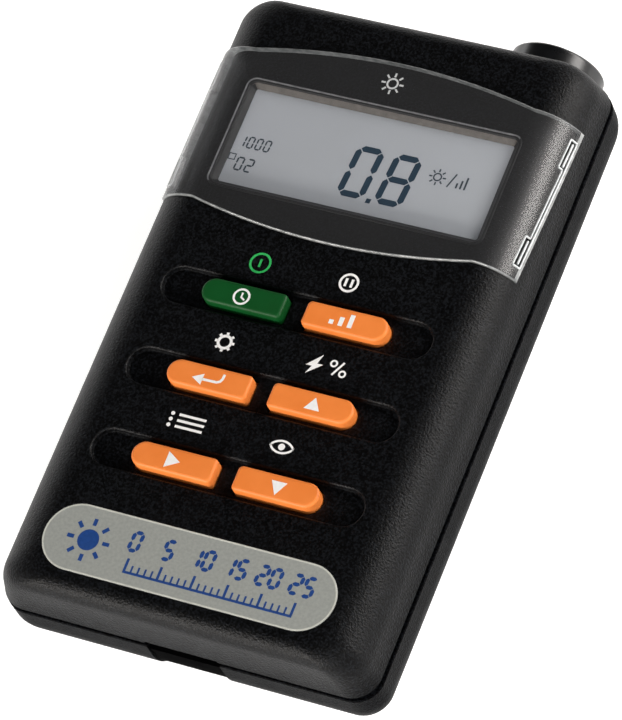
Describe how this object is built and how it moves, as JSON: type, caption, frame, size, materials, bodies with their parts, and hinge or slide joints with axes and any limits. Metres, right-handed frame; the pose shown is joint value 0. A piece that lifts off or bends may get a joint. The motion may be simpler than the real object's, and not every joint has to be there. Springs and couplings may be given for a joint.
{
  "type": "handheld solar power meter",
  "caption": "Handheld light power meter: black case with a wrap-over display window, sprung keys in recesses, a label plate, a light sensor in the top end and a hinged battery door in the back.",
  "frame": {"origin": "centre of the object's bounding box at its back, where it lies on a table", "axes": "+Z out of the front face with the keys, +Y to the end with the light sensor, +X to the right seen from the front"},
  "size_m": [0.064, 0.111, 0.0351],
  "materials": {
    "case_plastic": "fine textured moulding, satin",
    "door_plastic": "fine textured moulding, satin",
    "window_clear": "smoky clear, polished",
    "display_glass": "grey reflective display, satin film",
    "reflector_film": "white film",
    "inner_plastic": "plain moulding",
    "contact_rubber": "striped elastomer",
    "silicone": "translucent silicone",
    "key_green": "satin",
    "key_orange": "satin",
    "carbon_rubber": "matt",
    "circuit_board": "solder mask, semi-gloss",
    "chip_resin": "moulded resin",
    "bright_steel": "bright plated",
    "zinc_steel": "zinc plated",
    "boss_plastic": "smooth moulding",
    "diffuser_white": "translucent white",
    "seal_rubber": "matt",
    "filter_glass": "polished",
    "gold_wire": "plated",
    "brass": "turned",
    "cell_sleeve": "printed sleeve, gloss",
    "spring_steel": "nickel plated",
    "red_wire": "insulated",
    "black_wire": "insulated",
    "foam": "closed-cell foam",
    "label_film": "printed film, satin"
  },
  "bodies": {
    "root": {"front_case": "case_plastic", "rear_case": "case_plastic", "window_lens": "window_clear", "lcd_glass": "display_glass", "lcd_reflector": "reflector_film", "lcd_holder": "inner_plastic", "zebra_strips": "contact_rubber", "keypad_mat": "silicone", "main_board": "circuit_board", "board_chips": "chip_resin", "board_crystal": "bright_steel", "board_screws": "zinc_steel", "case_screws": "zinc_steel", "sensor_housing": "boss_plastic", "sensor_diffuser": "diffuser_white", "sensor_seal": "seal_rubber", "sensor_filter": "filter_glass", "photodiode": "bright_steel", "sensor_leads": "gold_wire", "data_jack": "inner_plastic", "tripod_nut": "brass", "battery_springs": "spring_steel", "battery_plates": "spring_steel", "lead_red": "red_wire", "lead_black": "black_wire", "name_plate": "label_film", "battery_1": "cell_sleeve", "battery_2": "cell_sleeve", "battery_3": "cell_sleeve", "battery_4": "cell_sleeve"},
    "door": {"battery_door": "door_plastic", "door_pad": "foam"},
    "power_time": {"key_power_time": "key_green", "pill_power_time": "carbon_rubber"},
    "hold_mode": {"key_hold_mode": "key_orange", "pill_hold_mode": "carbon_rubber"},
    "set_enter": {"key_set_enter": "key_orange", "pill_set_enter": "carbon_rubber"},
    "power_up": {"key_power_up": "key_orange", "pill_power_up": "carbon_rubber"},
    "memory_right": {"key_memory_right": "key_orange", "pill_memory_right": "carbon_rubber"},
    "read_down": {"key_read_down": "key_orange", "pill_read_down": "carbon_rubber"}
  },
  "joints": [
    {"name": "press_power_time", "type": "slide", "parent": "root", "child": "power_time", "axis": [0, 0, -1], "range_m": [0, 0.0009], "stiffness_N_per_m": 1400},
    {"name": "press_hold_mode", "type": "slide", "parent": "root", "child": "hold_mode", "axis": [0, 0, -1], "range_m": [0, 0.0009], "stiffness_N_per_m": 1400},
    {"name": "press_set_enter", "type": "slide", "parent": "root", "child": "set_enter", "axis": [0, 0, -1], "range_m": [0, 0.0009], "stiffness_N_per_m": 1400},
    {"name": "press_power_up", "type": "slide", "parent": "root", "child": "power_up", "axis": [0, 0, -1], "range_m": [0, 0.0009], "stiffness_N_per_m": 1400},
    {"name": "press_memory_right", "type": "slide", "parent": "root", "child": "memory_right", "axis": [0, 0, -1], "range_m": [0, 0.0009], "stiffness_N_per_m": 1400},
    {"name": "press_read_down", "type": "slide", "parent": "root", "child": "read_down", "axis": [0, 0, -1], "range_m": [0, 0.0009], "stiffness_N_per_m": 1400},
    {"name": "door_hinge", "type": "hinge", "parent": "root", "child": "door", "pos_m": [0, 0.00535, 0.0011], "axis": [1, 0, 0], "range_deg": [0, 60]}
  ]
}
